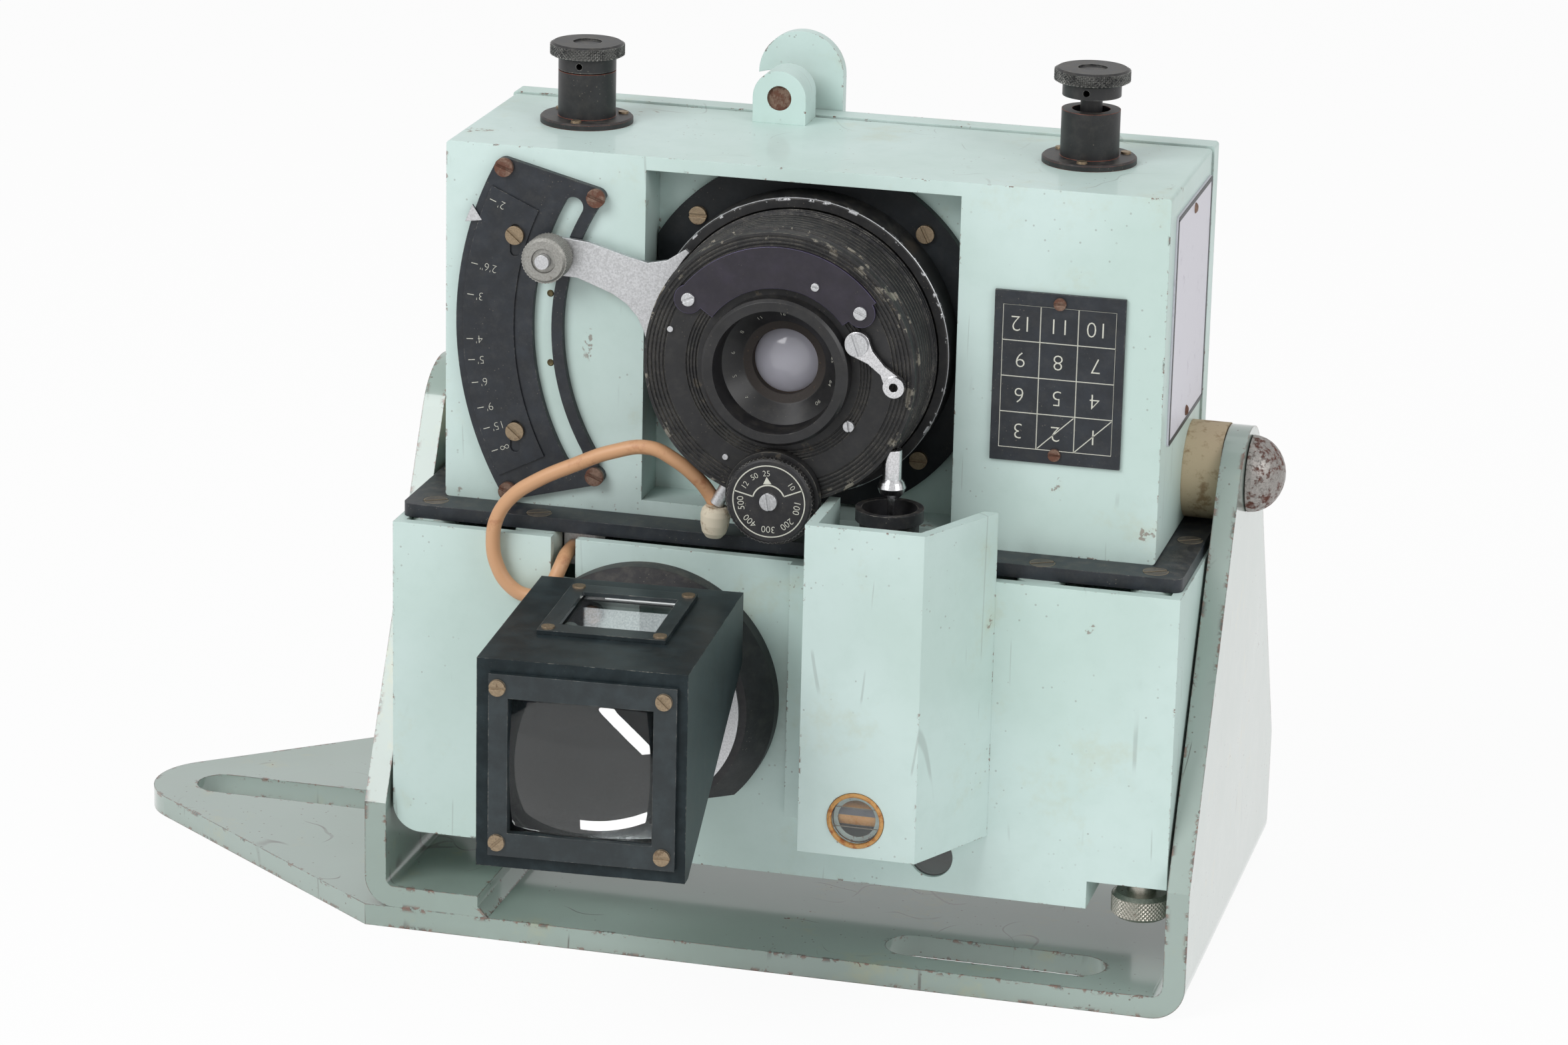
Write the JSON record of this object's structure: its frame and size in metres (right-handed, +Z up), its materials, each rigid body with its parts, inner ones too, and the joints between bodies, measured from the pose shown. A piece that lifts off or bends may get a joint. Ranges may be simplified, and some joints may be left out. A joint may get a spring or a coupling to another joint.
{
  "type": "dial recording camera",
  "caption": "Roll-film recording camera on trunnions in a bent-plate bracket, with a leaf-shutter lens, distance scale, reflex finder and level.",
  "frame": {"origin": "on the underside of the bracket's floor, straight below the trunnion axis, midway between the arms", "axes": "+Z up, square to the bracket's floor; the lens looks along -Y; +X along the trunnion axis, away from the bracket's wing"},
  "size_m": [0.3363, 0.2219, 0.2493],
  "materials": {
    "mint_paint": "satin, chipped and rusty at edges",
    "bracket_paint": "satin grey-green, scratched and chipped",
    "black_paint": "satin blue-black, worn at edges",
    "black_metal": "fine semi-gloss black",
    "cast_grey": "pitted grey",
    "fibre": "mottled brown fibre",
    "bright_steel": "matte silver",
    "chrome": "polished",
    "rusty_steel": "rusty slotted heads",
    "aged_brass": "dull",
    "nickel": "knurled nickel",
    "lilac_plate": "matte anodised",
    "optical_glass": "coated",
    "mirror": "front silvered",
    "amber": "amber vial",
    "amber_seal": "crusted sealing ring",
    "dark_rubber": "matte",
    "tan_sleeve": "smooth tan sleeving",
    "ivory": "stained ivory",
    "copper_coil": "varnished winding"
  },
  "bodies": {
    "bracket": {"mount_bracket": "bracket_paint", "left_arm": "bracket_paint"},
    "camera": {"trunnion_bolts": "cast_grey", "friction_washers": "fibre", "deck_plate": "black_paint", "housing_screws": "rusty_steel", "lower_housing": "mint_paint", "level_tower": "mint_paint", "level_seal": "amber_seal", "window_glasses": "optical_glass", "level_vial": "amber", "film_housing": "mint_paint", "film_gate": "black_metal", "lens_flange": "black_metal", "scale_plate": "black_paint", "distance_scale": "black_paint", "plate_screws": "rusty_steel", "number_plate": "black_paint", "side_plate": "lilac_plate", "knob_bushes": "black_metal", "latch_lug": "mint_paint", "cover_hinges": "bright_steel", "finder_base": "black_metal", "solenoid_coil": "copper_coil", "solenoid_yoke": "bright_steel", "socket_ring": "black_metal", "shutter_cable": "tan_sleeve"},
    "cover": {"back_cover": "mint_paint", "cover_gasket": "dark_rubber", "pressure_plate": "black_metal", "pressure_springs": "bright_steel"},
    "latch": {"latch_hook": "mint_paint"},
    "left_lift": {"left_sleeve": "aged_brass"},
    "left_winder": {"left_knob": "black_metal"},
    "left_reel": {"left_spool": "black_metal"},
    "right_lift": {"right_sleeve": "aged_brass"},
    "right_winder": {"right_knob": "black_metal"},
    "right_reel": {"right_spool": "black_metal"},
    "access": {"base_knob": "nickel"},
    "focus": {"focus_ring": "black_metal", "focus_arm": "bright_steel"},
    "clamp": {"clamp_knob": "bright_steel"},
    "lens": {"shutter_case": "black_metal", "blade_cover": "black_metal", "shutter_screws": "bright_steel", "lens_barrel": "black_metal", "front_cell": "black_metal", "lens_glasses": "optical_glass", "release_socket": "chrome", "sync_post": "bright_steel", "sync_boot": "ivory"},
    "iris": {"iris_ring": "black_metal"},
    "speed": {"speed_dial": "black_metal"},
    "lever": {"release_lever": "chrome"},
    "trip": {"trip_rod": "bright_steel"},
    "solenoid": {"plunger": "bright_steel"},
    "finder": {"finder_body": "black_paint", "finder_frames": "black_paint", "finder_glasses": "optical_glass", "finder_mirror": "mirror"}
  },
  "joints": [
    {"name": "tilt", "type": "hinge", "parent": "bracket", "child": "camera", "pos_m": [0, 0, 0.136], "axis": [1, 0, 0], "range_deg": [-50, 15]},
    {"name": "cover_swing", "type": "hinge", "parent": "camera", "child": "cover", "pos_m": [0, 0.0172, 0.1196], "axis": [-1, 0, 0], "range_deg": [0, 90]},
    {"name": "latch_turn", "type": "hinge", "parent": "cover", "child": "latch", "pos_m": [-0.0144, 0.0249, 0.1706], "axis": [0, 1, 0], "range_deg": [0, 24]},
    {"name": "left_knob_lift", "type": "slide", "parent": "camera", "child": "left_lift", "axis": [0, 0, 1], "range_m": [0, 0.004]},
    {"name": "left_knob_turn", "type": "hinge", "parent": "left_lift", "child": "left_winder", "pos_m": [-0.0708, -0.0131, 0.23], "axis": [0, 0, 1], "continuous": true},
    {"name": "left_spool_turn", "type": "hinge", "parent": "camera", "child": "left_reel", "pos_m": [-0.0708, -0.0131, 0.17], "axis": [0, 0, 1], "continuous": true},
    {"name": "right_knob_lift", "type": "slide", "parent": "camera", "child": "right_lift", "axis": [0, 0, 1], "range_m": [-0.0035, 0.0005]},
    {"name": "right_knob_turn", "type": "hinge", "parent": "right_lift", "child": "right_winder", "pos_m": [0.0708, -0.0131, 0.23], "axis": [0, 0, 1], "continuous": true},
    {"name": "right_spool_turn", "type": "hinge", "parent": "camera", "child": "right_reel", "pos_m": [0.0708, -0.0131, 0.17], "axis": [0, 0, 1], "continuous": true},
    {"name": "access_knob_turn", "type": "hinge", "parent": "camera", "child": "access", "pos_m": [0.1004, -0.048, 0.03], "axis": [0, 0, 1], "continuous": true},
    {"name": "focus_turn", "type": "hinge", "parent": "camera", "child": "focus", "pos_m": [0, -0.045, 0.174], "axis": [0, -1, 0], "range_deg": [-4.9, 39.4]},
    {"name": "lens_travel", "type": "slide", "parent": "camera", "child": "lens", "axis": [0, 1, 0], "range_m": [-0.0006, 0.0041]},
    {"name": "clamp_turn", "type": "hinge", "parent": "focus", "child": "clamp", "pos_m": [-0.06879, -0.056, 0.1949], "axis": [0, -1, 0], "range_deg": [0, 270]},
    {"name": "iris_turn", "type": "hinge", "parent": "lens", "child": "iris", "pos_m": [0, -0.05, 0.174], "axis": [0, -1, 0], "range_deg": [0, 90]},
    {"name": "speed_turn", "type": "hinge", "parent": "lens", "child": "speed", "pos_m": [-0.0001, -0.075, 0.1389], "axis": [0, -1, 0], "range_deg": [-60, 120]},
    {"name": "lever_press", "type": "hinge", "parent": "lens", "child": "lever", "pos_m": [0.022, -0.072, 0.1833], "axis": [0, 1, 0], "range_deg": [0, 18], "stiffness_Nm_per_rad": 0.01},
    {"name": "rod_trip", "type": "slide", "parent": "lens", "child": "trip", "axis": [0, 0, 1], "range_m": [0, 0.002], "stiffness_N_per_m": 60},
    {"name": "plunger_lift", "type": "slide", "parent": "camera", "child": "solenoid", "axis": [0, 0, 1], "range_m": [0, 0.002], "stiffness_N_per_m": 120},
    {"name": "finder_turn", "type": "hinge", "parent": "camera", "child": "finder", "pos_m": [-0.036, -0.07, 0.0776], "axis": [0, -1, 0], "range_deg": [-90, 90]}
  ],
  "couplings": [
    {"joint": "left_spool_turn", "follows": "left_knob_turn", "ratio": 1},
    {"joint": "right_spool_turn", "follows": "right_knob_turn", "ratio": 1},
    {"joint": "lens_travel", "follows": "focus_turn", "m_per_rad": 0.0058201},
    {"joint": "rod_trip", "follows": "plunger_lift", "ratio": 1}
  ]
}
